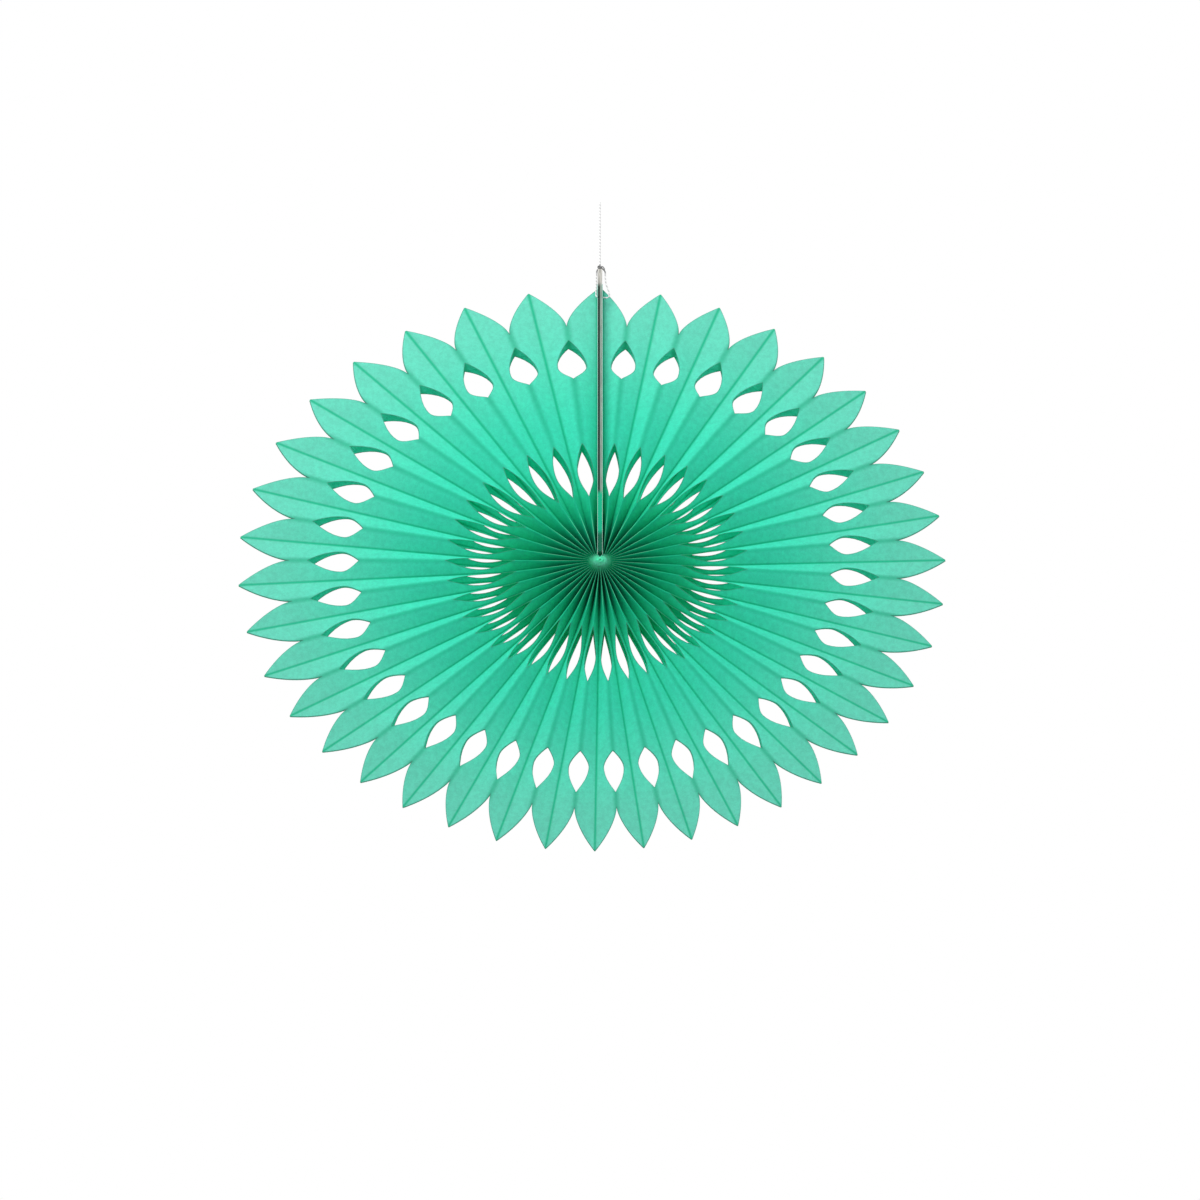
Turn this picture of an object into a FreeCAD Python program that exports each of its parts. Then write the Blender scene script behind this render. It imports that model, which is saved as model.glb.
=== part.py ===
"""A round rosette of pleated tissue paper that hangs from a thread.

Two plies of tissue are folded together like an accordion and opened into a full circle.
The two end pleats are glued to a pair of board stays, which stand together at the top, and
a thread is tied through an eye in the stays.

The origin is the top end of the hanging thread. The front of the rosette faces -Y and the
stays point along +Z. Creases are numbered clockwise, as seen from the front, from the right
stay round to the left one: even creases lie behind and run to the petals' tips, odd ones lie in
front and have the openings cut across them.
Sizes are in millimetres, degrees and counts.
"""
import FreeCAD, Part
import math
import os

from FreeCAD import Placement, Rotation, Vector

SIZES = (
    ("petal_count", 39, "pleats round the full circle"),
    ("tip_radius", 200, "from the hub to a petal's tip"),
    ("tip_flat", 0.6, "width of the blunt end of a petal"),
    ("petal_curve", 1.45, "how full a petal's sides are, 1 being straight"),
    ("notch_radius", 172, "from the hub to where two petals part"),
    ("hole_bridge", 10.5, "tissue left between a notch and the hole under it"),
    ("hole_outer", "=notch_radius - hole_bridge", "outer point of a hole between two petals"),
    ("hole_middle", "=hole_outer - 18.5", "where that hole is widest"),
    ("hole_inner", "=hole_outer - 28.5", "inner point of that hole"),
    ("hole_reach", 0.57, "share of each pleat's face that the hole takes"),
    ("slot_outer", 85, "outer point of a slot near the hub"),
    ("slot_middle", 65, "where that slot is widest"),
    ("slot_inner", 46.5, "inner point of that slot"),
    ("slot_reach", 0.68, "share of each pleat's face that the slot takes"),
    ("core_radius", 5, "glued middle of the hub"),
    ("hub_depth", 9, "from the front creases to the back ones at the hub"),
    ("rim_depth", 1.2, "the same at the petals' tips"),
    ("ply_thickness", 0.2, "one ply of tissue"),
    ("sag_angle", 8.6, "how far the pleats at the sides hang down"),
    ("slip_angle", 3.1, "how far the pleats at the bottom have slipped round"),
    ("pull_offset", 5.1, "how far the rim's middle lies from the hub"),
    ("pull_angle", 294, "which way it lies, clockwise from the top"),
    ("rear_inner", 16, "inner edge of the rear ply"),
    ("rear_gap", 8, "how far behind the front ply the rear ply hangs"),
    ("rear_near_gap", 0.6, "the same under the petals and at the holes' inner points"),
    ("stay_length", "=tip_radius + 8", "a board stay, which stands out past the petals' tips"),
    ("stay_width", 10, "a board stay, from front to back"),
    ("stay_thickness", 1.3, "a board stay, across"),
    ("stay_gap", 0.2, "from the hub's glued middle to the stays"),
    ("flap_gap", 0.05, "from the glued end pleat to the rear ply"),
    ("eye_drop", 20, "from the stays' top end down to their eye"),
    ("eye_forward", 3.2, "from the middle of the stays' width forward to their eye"),
    ("eye_radius", 0.8, "the eye's hole through both stays"),
    ("thread_radius", 0.4, "the hanging thread"),
    ("thread_length", 49, "from the knot up to the thread's end"),
    ("knot_radius", 1.4, "the knot on top of the stays"),
    ("knot_height", 2.6, "the knot from its underside to its top"),
    ("strand_sides", 6, "flat sides that the thread's loop and knot are drawn with"),
    ("loop_slack", 2.1, "how far the thread's loop stands off the stays at the eye"),
    ("loop_gap", 0.5, "how far it clears the stays at their top"),
)

doc = FreeCAD.newDocument("paper_fan_rosette")
sheet = doc.addObject("Spreadsheet::Sheet", "Sizes")
for row, (alias, value, meaning) in enumerate(SIZES, start=1):
    sheet.set(f"A{row}", meaning)
    sheet.set(f"B{row}", str(value))
    sheet.setAlias(f"B{row}", alias)
doc.recompute()
size = {alias: float(sheet.get(alias)) for alias, _, _ in SIZES}
petals = int(size["petal_count"])


def between(value, low, high):
    """How far a value has gone from low to high, from 0 to 1."""
    return min(1.0, max(0.0, (value - low) / (high - low)))


def crease_angle(crease):
    """A crease's angle, clockwise from the top. The pleats stand open at the top and close below."""
    even = math.pi * crease / petals
    sag = math.radians(size["sag_angle"]) * math.sin(even)
    slip = math.radians(size["slip_angle"]) * math.sqrt(abs(math.sin(even / 2)))
    return even + sag - slip


def top_share(angle):
    """1 at the top of the rosette and 0 at the bottom."""
    return (1 + math.cos(angle)) / 2


def pleat_depth(radius):
    """From the front creases to the back ones at a radius."""
    return size["hub_depth"] + (size["rim_depth"] - size["hub_depth"]) * radius / size["tip_radius"]


def thickness_along_y(radius):
    """A ply's thickness measured along Y, which is more where its faces are steep."""
    half_pitch = math.pi * radius / petals
    return size["ply_thickness"] * math.hypot(half_pitch, pleat_depth(radius)) / half_pitch


def beside_opening(radius, name):
    """The share of a pleat's face that is left beside a pointed opening across its front crease."""
    inner, middle, outer = (size[f"{name}_{place}"] for place in ("inner", "middle", "outer"))
    if radius <= middle:
        width = between(radius, inner, middle)
    else:
        width = 1.0 - between(radius, middle, outer)
    return 1.0 - size[f"{name}_reach"] * math.sin(math.pi / 2 * width)


def face_share(radius):
    """The share of a pleat's face, counted from its back crease, that is there at a radius."""
    if radius <= size["notch_radius"]:
        return min(beside_opening(radius, "slot"), beside_opening(radius, "hole"))
    tip_share = size["tip_flat"] * petals / (2 * math.pi * size["tip_radius"])
    along = between(radius, size["notch_radius"], size["tip_radius"])
    return 1.0 - (1.0 - tip_share) * along ** size["petal_curve"]


def opening_stations(name, steps):
    """Radii along an opening, with its two points, its widest place and steps between them."""
    inner, middle, outer = (size[f"{name}_{place}"] for place in ("inner", "middle", "outer"))
    rising = [inner + (middle - inner) * step / steps for step in range(steps)]
    falling = [middle + (outer - middle) * step / steps for step in range(steps + 1)]
    return rising + falling


def rim_stations(steps):
    """Radii along a petal's free edge, from the notch to the tip."""
    rim = size["tip_radius"] - size["notch_radius"]
    return [size["notch_radius"] + rim * step / steps for step in range(steps + 1)]


def flat(*corners):
    """A flat face with the corners given."""
    return Part.Face(Part.makePolygon([*corners, corners[0]]))


def triangles(a, b, a2, b2):
    """Two flat faces between the edges a-b and a2-b2, where a and a2 lie on the back crease."""
    return [flat(a, b, b2), flat(a, b2, a2)]


def wall(a, b, a2, b2):
    """One flat face between the edges a-b and a2-b2."""
    return flat(a, b, b2, a2)


class Ply:
    """One ply of tissue, drawn with flat faces between the radii of its stations."""

    def __init__(self, stations, start_side, gap=0.0, near_gap=0.0):
        self.stations = stations
        self.start_side = start_side
        self.gap, self.near_gap = gap, near_gap

    def hang(self, radius):
        """How far back the ply hangs at a radius: most round the slots and the holes' outer points."""
        round_slots = between(radius, size["hole_inner"], size["slot_outer"])
        along_hole = between(radius, size["hole_inner"], size["hole_outer"]) ** 2
        before_notch = between(radius, size["notch_radius"], size["hole_outer"])
        open_share = max(round_slots, min(along_hole, before_notch))
        return self.near_gap + (self.gap - self.near_gap) * open_share

    def crease_point(self, crease, radius):
        """Where a crease passes a radius, measured from the hub."""
        angle = crease_angle(crease)
        pull = size["pull_offset"] / size["tip_radius"]
        reach = radius * (1 + pull * math.cos(angle - math.radians(size["pull_angle"])))
        side = self.start_side * top_share(angle) * (1 if crease < petals else -1)
        half_depth = pleat_depth(radius) / 2
        y = self.hang(radius) + (-half_depth if crease % 2 else half_depth)
        return Vector(reach * math.sin(angle) + side, y, reach * math.cos(angle))

    def corners(self, tip_crease, cut_crease, radius):
        """A pleat face's corners at a radius: on its back crease and at its cut, front and rear."""
        on_tip = self.crease_point(tip_crease, radius)
        on_cut = on_tip + (self.crease_point(cut_crease, radius) - on_tip) * face_share(radius)
        back = Vector(0, thickness_along_y(radius), 0)
        return on_tip, on_cut, on_cut + back, on_tip + back

    def pleat_face(self, tip_crease, cut_crease):
        """The skins of one pleat face: front, rear, and a wall wherever the tissue is cut."""
        rows = [self.corners(tip_crease, cut_crease, radius) for radius in self.stations]
        whole = [face_share(radius) == 1.0 for radius in self.stations]
        skins = self.inner_end(*rows[0])
        for here, there in zip(range(len(rows)), range(1, len(rows))):
            (a, b, c, d), (a2, b2, c2, d2) = rows[here], rows[there]
            skins += triangles(a, b, a2, b2) + triangles(d, c, d2, c2)
            if not (whole[here] and whole[there]):
                skins.append(wall(b, c, b2, c2))
            if tip_crease in (0, 2 * petals):
                skins.append(wall(a, d, a2, d2))
        a, b, c, d = rows[-1]
        return skins + [wall(a, b, d, c)]

    def inner_end(self, a, b, c, d):
        """The wall that ends a pleat face towards the hub."""
        return [wall(a, b, d, c)]

    def middle(self):
        """Nothing: this ply stops short of the hub."""
        return []

    def solid(self):
        """The whole ply, all the way round from one stay to the other."""
        skins = self.middle()
        for tip_crease in range(0, 2 * petals, 2):
            skins += self.pleat_face(tip_crease, tip_crease + 1)
            skins += self.pleat_face(tip_crease + 2, tip_crease + 1)
        sewn = Part.makeCompound(skins)
        sewn.sewShape()
        made = Part.makeSolid(sewn.Shells[0])
        if made.Volume < 0:
            made.reverse()
        return made


class GatheredPly(Ply):
    """A ply whose pleats are gathered and glued into one point at the hub."""

    front = Vector(0, -size["hub_depth"] / 2, 0)
    rear = Vector(0, size["hub_depth"] / 2, 0)

    def inner_end(self, a, b, c, d):
        """A pleat face's run to the hub's middle, front and rear."""
        return [flat(self.front, a, b), flat(self.rear, d, c)]

    def middle(self):
        """What closes the glued middle between the two end pleats, under the stays."""
        a, _, _, d = self.corners(0, 1, self.stations[0])
        a2, _, _, d2 = self.corners(2 * petals, 2 * petals - 1, self.stations[0])
        return [flat(self.front, a, a2), flat(self.rear, d, d2), wall(a, d, a2, d2)]


def bind(feature, **expressions):
    """Ties a feature's properties to the sheet. A double underscore stands for a dot."""
    for name, expression in expressions.items():
        feature.setExpression(name.replace("__", "."), expression)
    return feature


def place_along_x(feature):
    """Turns a cylinder so that its axis runs along X."""
    feature.Placement = Placement(Vector(), Rotation(Vector(0, 1, 0), 90))


def add_marks():
    """The points that everything is placed from: the stays' top and foot, their eye and the hub."""
    bind(doc.addObject("Part::Vertex", "stay_top"),
         Z="-Sizes.thread_length - Sizes.knot_height - Sizes.loop_gap")
    bind(doc.addObject("Part::Vertex", "eye"), Z="stay_top.Z - Sizes.eye_drop * 1mm")
    bind(doc.addObject("Part::Vertex", "stay_foot"),
         Y="Sizes.eye_forward - Sizes.stay_width / 2", Z="stay_top.Z - Sizes.stay_length * 1mm")
    bind(doc.addObject("Part::Vertex", "hub"), Y="Sizes.eye_forward",
         Z="stay_foot.Z - (Sizes.stay_gap + Sizes.core_radius) * 1mm")


def add_eye():
    """The cylinder that pierces both stays and the pleats glued to them."""
    drill = doc.addObject("Part::Cylinder", "eye_drill")
    place_along_x(drill)
    half_length = "(2 * Sizes.stay_thickness)"
    return bind(drill, Radius="Sizes.eye_radius", Height=f"2 * {half_length}",
                Placement__Base__x=f"-{half_length}", Placement__Base__z="eye.Z")


def drilled(name, base, drill):
    """A piece with the eye through it."""
    cut = doc.addObject("Part::Cut", name)
    cut.Label = name
    cut.Base, cut.Tool = base, drill
    return cut


def add_stay(name, left_edge, drill):
    """One board stay, standing on the hub's glued middle."""
    board = bind(doc.addObject("Part::Box", f"{name}_board"),
                 Length="Sizes.stay_thickness", Width="Sizes.stay_width", Height="Sizes.stay_length",
                 Placement__Base__x=left_edge, Placement__Base__y="stay_foot.Y",
                 Placement__Base__z="stay_foot.Z")
    return drilled(name, board, drill)


def add_flap(name, left_edge, drill):
    """One end pleat, glued flat on the outer side of its stay."""
    top_reach = "(Sizes.tip_radius + Sizes.pull_offset * cos(Sizes.pull_angle * 1deg))"
    flap = bind(doc.addObject("Part::Box", f"{name}_pleat"),
                Length="Sizes.ply_thickness", Width="Sizes.hub_depth",
                Height=f"hub.Z + {top_reach} * 1mm - stay_foot.Z",
                Placement__Base__x=left_edge, Placement__Base__y="hub.Y - Sizes.hub_depth / 2 * 1mm",
                Placement__Base__z="stay_foot.Z")
    return drilled(name, flap, drill)


def add_ply(name, ply):
    """A ply's pleats as a feature, set on the hub."""
    hub = doc.getObject("hub")
    feature = doc.addObject("Part::Feature", name)
    feature.Label = name
    feature.Shape = ply.solid()
    feature.Placement = Placement(Vector(0, hub.Y.Value, hub.Z.Value), Rotation())
    return feature


def add_front_tissue(drill):
    """The front ply: its pleats, its glued middle and its two glued end pleats."""
    inner = [size["core_radius"], size["rear_inner"]]
    stations = inner + opening_stations("slot", 2) + opening_stations("hole", 2) + rim_stations(2)
    start_side = size["stay_thickness"] + size["ply_thickness"] / 2
    pleats = add_ply("front_pleats", GatheredPly(stations, start_side))
    tissue = doc.addObject("Part::MultiFuse", "front_tissue")
    tissue.Label = "front_tissue"
    tissue.Shapes = [
        pleats,
        add_flap("right_flap", "Sizes.stay_thickness", drill),
        add_flap("left_flap", "-Sizes.stay_thickness - Sizes.ply_thickness", drill),
    ]
    return tissue


def add_rear_tissue():
    """The rear ply, which hangs behind the front one."""
    stations = [size["rear_inner"]] + opening_stations("slot", 1) + opening_stations("hole", 1)
    start_side = size["stay_thickness"] + size["ply_thickness"] + size["flap_gap"]
    ply = Ply(stations + rim_stations(2), start_side, size["rear_gap"], size["rear_near_gap"])
    return add_ply("rear_tissue", ply)


def strand(start, end, radius):
    """A straight stretch of the loop that runs on past both ends, so that the next one meets it."""
    along = (end - start).normalize()
    forward = Vector(0, 1, 0)
    beside = along.cross(forward)
    first = start - along * radius
    sides = int(size["strand_sides"])
    turns = [2 * math.pi * side / sides for side in range(sides)]
    ring = [first + (forward * math.cos(turn) + beside * math.sin(turn)) * radius for turn in turns]
    return flat(*ring).extrude(along * ((end - start).Length + 2 * radius))


def add_thread_loop():
    """The thread's loop: through the eye, up both sides of the stays and into the knot."""
    radius = size["thread_radius"]
    eye, top = doc.getObject("eye").Z.Value, doc.getObject("stay_top").Z.Value
    eye_x = size["stay_thickness"] + size["loop_slack"]
    shoulder_x = size["stay_thickness"] + radius + size["loop_gap"]
    shoulder_z = top + radius + size["loop_gap"]
    knot_middle = Vector(0, 0, top + size["loop_gap"] + size["knot_height"] / 2)
    path = [knot_middle, Vector(shoulder_x, 0, shoulder_z), Vector(eye_x, 0, eye),
            Vector(-eye_x, 0, eye), Vector(-shoulder_x, 0, shoulder_z), knot_middle]
    runs = [strand(start, end, radius) for start, end in zip(path, path[1:])]
    strands = doc.addObject("Part::Feature", "loop_strands")
    strands.Shape = runs[0].fuse(runs[1:])
    knot = bind(doc.addObject("Part::Prism", "knot"), Polygon="Sizes.strand_sides",
                Circumradius="Sizes.knot_radius", Height="Sizes.knot_height",
                Placement__Base__z="stay_top.Z + Sizes.loop_gap * 1mm")
    tied = doc.addObject("Part::MultiFuse", "thread_loop")
    tied.Label = "thread_loop"
    tied.Shapes = [strands, knot]
    return tied


def add_hanging_thread():
    """The thread from the knot up to the origin, drawn tight by the rosette's weight."""
    thread = doc.addObject("Part::Cylinder", "hanging_thread")
    thread.Label = "hanging_thread"
    return bind(thread, Radius="Sizes.thread_radius", Height="Sizes.thread_length",
                Placement__Base__z="-Sizes.thread_length")


def check(nodes):
    """Stops if any object failed or any sub-part is not one sound solid."""
    for thing in doc.Objects:
        if "Invalid" in thing.State or "Error" in thing.State:
            raise RuntimeError(f"{thing.Name} failed: {thing.State}")
    for node in nodes:
        shape = node.Shape
        if shape.isNull() or not shape.isValid() or len(shape.Solids) != 1:
            raise RuntimeError(f"{node.Label} is not one sound solid")


add_marks()
eye_drill = add_eye()
doc.recompute()
parts = [
    add_front_tissue(eye_drill),
    add_rear_tissue(),
    add_stay("right_stay", "0", eye_drill),
    add_stay("left_stay", "-Sizes.stay_thickness", eye_drill),
    add_thread_loop(),
    add_hanging_thread(),
]
doc.recompute()
check(parts)
os.makedirs("parts", exist_ok=True)
for part in parts:
    part.Shape.exportStep(f"parts/{part.Label}.step")
    print(part.Label, round(part.Shape.Volume, 1), part.Shape.BoundBox, len(part.Shape.Faces))
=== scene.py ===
"""Finishes a round rosette of pleated tissue paper that hangs from a thread.

The two plies of tissue are drawn as fine sheets, one grid for each face of each pleat, folded
into place, joined along their creases and given a thickness. The board stays keep their own
solids and get a board finish. The thread is a curve, with a tied loop below it.
Lengths are in metres. The front faces -Y, the stays point along +Z, and creases are numbered
clockwise from the right stay: even ones lie behind and run to the petals' tips, odd ones lie in
front and have the openings cut across them.
"""

import math

import bpy
import numpy as np
from bpy.props import FloatProperty, FloatVectorProperty, IntProperty, PointerProperty
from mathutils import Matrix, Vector


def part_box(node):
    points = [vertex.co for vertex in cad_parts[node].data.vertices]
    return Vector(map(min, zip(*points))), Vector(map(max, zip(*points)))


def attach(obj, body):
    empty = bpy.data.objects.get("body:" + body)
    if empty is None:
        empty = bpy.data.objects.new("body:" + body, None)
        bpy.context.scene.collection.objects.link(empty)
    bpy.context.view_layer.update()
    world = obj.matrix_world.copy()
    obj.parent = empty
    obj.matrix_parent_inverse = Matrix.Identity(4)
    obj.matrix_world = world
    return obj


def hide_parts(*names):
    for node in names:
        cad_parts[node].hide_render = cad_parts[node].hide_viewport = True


bl_info = {
    "name": "Paper rosette",
    "version": (1, 0, 0),
    "blender": (4, 5, 0),
    "location": "View3D > Sidebar > Rosette",
    "description": "Folds, cuts and hangs a rosette of pleated tissue paper",
    "category": "Add Mesh",
}

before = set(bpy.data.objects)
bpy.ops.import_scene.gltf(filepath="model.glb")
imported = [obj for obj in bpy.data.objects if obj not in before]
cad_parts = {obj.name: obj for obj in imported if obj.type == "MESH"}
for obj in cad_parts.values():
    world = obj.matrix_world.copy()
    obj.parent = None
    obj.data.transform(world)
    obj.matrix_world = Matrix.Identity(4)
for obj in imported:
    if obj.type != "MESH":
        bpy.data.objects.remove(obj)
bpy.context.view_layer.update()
MILLIMETRES = 1000


def length(name, description, default):
    """A size that a user can change."""
    return FloatProperty(name=name, description=description, default=default, unit="LENGTH",
                         precision=5, min=0.0)


def share(name, description, default):
    """A share from 0 to 1, or a plain factor."""
    return FloatProperty(name=name, description=description, default=default, min=0.0)


def degrees(name, description, default):
    """An angle, given in degrees and held in radians."""
    return FloatProperty(name=name, description=description, default=math.radians(default),
                         subtype="ANGLE")


def colour(name, description, red, green, blue):
    """A colour given as a screen shows it, from 0 to 255, and held as light."""
    held = [linear(level / 255) for level in (red, green, blue)]
    return FloatVectorProperty(name=name, description=description, default=held, size=3,
                               subtype="COLOR", min=0.0, max=1.0)


def linear(level):
    """A screen level from 0 to 1 as light."""
    return level / 12.92 if level <= 0.04045 else ((level + 0.055) / 1.055) ** 2.4


class RosettePleats(bpy.types.PropertyGroup):
    """How the pleats are laid out round the hub."""

    petal_count: IntProperty(name="Petals", description="Pleats round the full circle", default=39, min=3)
    tip_radius: length("Tip radius", "From the hub to a petal's tip", 0.2)
    core_radius: length("Core radius", "Glued middle of the hub", 0.005)
    hub_depth: length("Hub depth", "From the front creases to the back ones at the hub", 0.009)
    rim_depth: length("Rim depth", "The same at the petals' tips", 0.0012)
    ply_thickness: length("Ply thickness", "One ply of tissue", 0.0002)
    fold_softness: length("Fold softness", "How far the front folds are rounded", 0.0012)
    sag_angle: degrees("Sag", "How far the pleats at the sides hang down", 8.6)
    slip_angle: degrees("Slip", "How far the pleats at the bottom have slipped round", 3.1)
    pull_offset: length("Pull", "How far the rim's middle lies from the hub", 0.0051)
    pull_angle: degrees("Pull angle", "Which way it lies, clockwise from the top", 294)
    stay_thickness: length("Stay thickness", "A board stay, across", 0.0013)
    stay_gap: length("Stay gap", "From the hub's glued middle to the stays", 0.0002)


class RosetteRear(bpy.types.PropertyGroup):
    """How the rear ply hangs behind the front one."""

    inner_radius: length("Inner radius", "Inner edge of the rear ply", 0.016)
    gap: length("Gap", "How far behind the front ply it hangs", 0.008)
    near_gap: length("Near gap", "The same under the petals and at the holes' inner points", 0.0006)
    flap_gap: length("Flap gap", "From the glued end pleat to the rear ply", 0.00005)


class RosetteOpenings(bpy.types.PropertyGroup):
    """The shapes cut out of the folded tissue."""

    slot_inner: length("Slot inner", "Inner point of a slot near the hub", 0.0465)
    slot_middle: length("Slot middle", "Where that slot is widest", 0.065)
    slot_outer: length("Slot outer", "Outer point of that slot", 0.085)
    slot_reach: share("Slot reach", "Share of each pleat's face that the slot takes", 0.68)
    hole_inner: length("Hole inner", "Inner point of a hole between two petals", 0.133)
    hole_middle: length("Hole middle", "Where that hole is widest", 0.143)
    hole_outer: length("Hole outer", "Outer point of that hole", 0.1615)
    hole_reach: share("Hole reach", "Share of each pleat's face that the hole takes", 0.57)
    notch_radius: length("Notch radius", "From the hub to where two petals part", 0.172)
    tip_flat: length("Tip flat", "Width of the blunt end of a petal", 0.0006)
    petal_curve: share("Petal curve", "How full a petal's sides are, 1 being straight", 1.45)


class RosetteThread(bpy.types.PropertyGroup):
    """The thread that the rosette hangs from."""

    thickness: length("Thickness", "The thread's diameter", 0.0008)
    hanging_length: length("Hanging length", "From the knot up to the thread's end", 0.049)
    loop_width: length("Loop width", "How far the loop stands out on the right", 0.0055)
    knot_size: length("Knot size", "From the knot's middle to its outside", 0.0017)


class RosetteColours(bpy.types.PropertyGroup):
    """The finishes' colours."""

    # Painted light and shade by radius: the rim colour is lighter and paler, as painted light on the
    # petals, and the inner colour is darker and saturated, as painted shade where the pleats crowd round
    # the hub.
    rim: colour("Rim", "The tissue at the petals", 126, 232, 212)
    middle: colour("Middle", "The tissue half way out", 74, 236, 208)
    inner: colour("Inner", "The tissue where the pleats crowd round the hub", 12, 216, 162)
    # Painted light: the core colour is a bright patch that stands in for the light on the flat glued
    # middle of the hub.
    core: colour("Core", "The glued middle of the hub", 150, 255, 230)
    # Painted shade: the fold colour darkens and saturates the tissue along its sharp folds and, a little
    # darker still, along its soft front folds.
    fold: colour("Fold", "The tissue along a fold", 20, 202, 158)
    edge: colour("Edge", "The tissue along a cut", 92, 168, 146)
    board: colour("Board", "The board of the stays", 190, 188, 182)
    board_grey: colour("Grey board", "The board's darker streaks", 138, 138, 132)
    # Painted shade: the stays are darker below the top of the tissue, where they stand in shadow between
    # the glued pleats; the left one is nearly black.
    left_stay_shade: colour("Left stay shade", "The left stay between the glued pleats", 20, 50, 40)
    shaded: colour("Shaded board", "The right stay between the glued pleats", 120, 138, 128)
    # Painted highlight: this colour lightens the front folds round the hub.
    ridge_highlight: colour("Ridge highlight", "The tissue on the front folds round the hub", 150, 240, 205)
    thread: colour("Thread", "The thread", 222, 222, 222)
    floor: colour("Floor", "The floor far below", 232, 232, 232)


def pleats():
    """The pleats' sizes."""
    return bpy.context.scene.rosette_pleats


def openings():
    """The openings' sizes."""
    return bpy.context.scene.rosette_openings


def colours():
    """The finishes' colours."""
    return bpy.context.scene.rosette_colours


def hub_place():
    """The hub's middle, which lies just under the stays' foot."""
    low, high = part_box("right_stay")
    below = pleats().stay_gap + pleats().core_radius
    return Vector((0.0, (low.y + high.y) / 2, low.z - below))


def between(value, low, high):
    """How far a value has gone from low to high, from 0 to 1."""
    return np.clip((value - low) / (high - low), 0.0, 1.0)


def crease_angle(crease):
    """A crease's angle, clockwise from the top."""
    even = math.pi * crease / pleats().petal_count
    slip = pleats().slip_angle * math.sqrt(abs(math.sin(even / 2)))
    return even + pleats().sag_angle * math.sin(even) - slip


def top_share(angle):
    """1 at the top of the rosette and 0 at the bottom."""
    return (1 + math.cos(angle)) / 2


def pleat_depth(radius):
    """From the front creases to the back ones at a radius."""
    along = radius / pleats().tip_radius
    return pleats().hub_depth + (pleats().rim_depth - pleats().hub_depth) * along


def beside_opening(radius, name):
    """The share of a pleat's face that is left beside an opening."""
    inner, middle, outer = (getattr(openings(), f"{name}_{place}")
                            for place in ("inner", "middle", "outer"))
    width = np.where(radius <= middle, between(radius, inner, middle),
                     1.0 - between(radius, middle, outer))
    return 1.0 - getattr(openings(), f"{name}_reach") * np.sin(math.pi / 2 * width)


def face_share(radius):
    """The share of a pleat's face, counted from its back crease, that is there at a radius."""
    inside = np.minimum(beside_opening(radius, "slot"), beside_opening(radius, "hole"))
    tip = pleats().tip_radius
    tip_share = openings().tip_flat * pleats().petal_count / (2 * math.pi * tip)
    along = between(radius, openings().notch_radius, tip)
    petal = 1.0 - (1.0 - tip_share) * along ** openings().petal_curve
    return np.where(radius <= openings().notch_radius, inside, petal)


def face_width(radius):
    """How wide a pleat's whole face is at a radius."""
    return np.hypot(math.pi * radius / pleats().petal_count, pleat_depth(radius))


def eased(low, high, steps):
    """Radii from low up to high, closer together near both ends."""
    turns = np.linspace(0.0, math.pi, steps + 1)[:-1]
    return list(low + (high - low) * (1 - np.cos(turns)) / 2)


# How many rows of vertices each stretch of a pleat has, from the hub out to the tip.
ROWS_TO_SLOT = 8
ROWS_TO_HOLE = 5
ROWS_TO_NOTCH = 3
ROWS_TO_TIP = 15
ROWS_ALONG_HALF_OPENING = 8


def station_radii(inner_stations):
    """Every radius at which the tissue is drawn, from the inner ones given to the tip."""
    cut = openings()
    radii = list(inner_stations)
    radii += list(np.linspace(radii[-1], cut.slot_inner, ROWS_TO_SLOT + 1)[1:-1])
    for low, high in ((cut.slot_inner, cut.slot_middle), (cut.slot_middle, cut.slot_outer)):
        radii += eased(low, high, ROWS_ALONG_HALF_OPENING)
    radii += list(np.linspace(cut.slot_outer, cut.hole_inner, ROWS_TO_HOLE + 1)[:-1])
    for low, high in ((cut.hole_inner, cut.hole_middle), (cut.hole_middle, cut.hole_outer)):
        radii += eased(low, high, ROWS_ALONG_HALF_OPENING)
    radii += list(np.linspace(cut.hole_outer, cut.notch_radius, ROWS_TO_NOTCH + 1)[:-1])
    radii += list(np.linspace(cut.notch_radius, pleats().tip_radius, ROWS_TO_TIP + 1))
    return np.array(radii)


def cut_distance(radius, across, share_left):
    """How far a place is from the nearest cut edge."""
    width = face_width(radius)
    beside = (1 - across) * share_left * width
    cut = openings()
    ends = (cut.slot_inner, cut.slot_outer, cut.hole_inner, cut.hole_outer, cut.notch_radius)
    to_end = np.min([np.abs(radius - end) for end in ends], axis=0)
    return np.where(share_left < 1.0, beside, np.hypot(beside, to_end))


# By what share of the pleats' depth the front folds are rounded back.
FOLD_BLUNTING = 0.16
SHARPEST_FOLD = 1e-6
# How late inside the glued core the pleats begin to open, as a power of the radius.
CORE_POWER = 3


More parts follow.
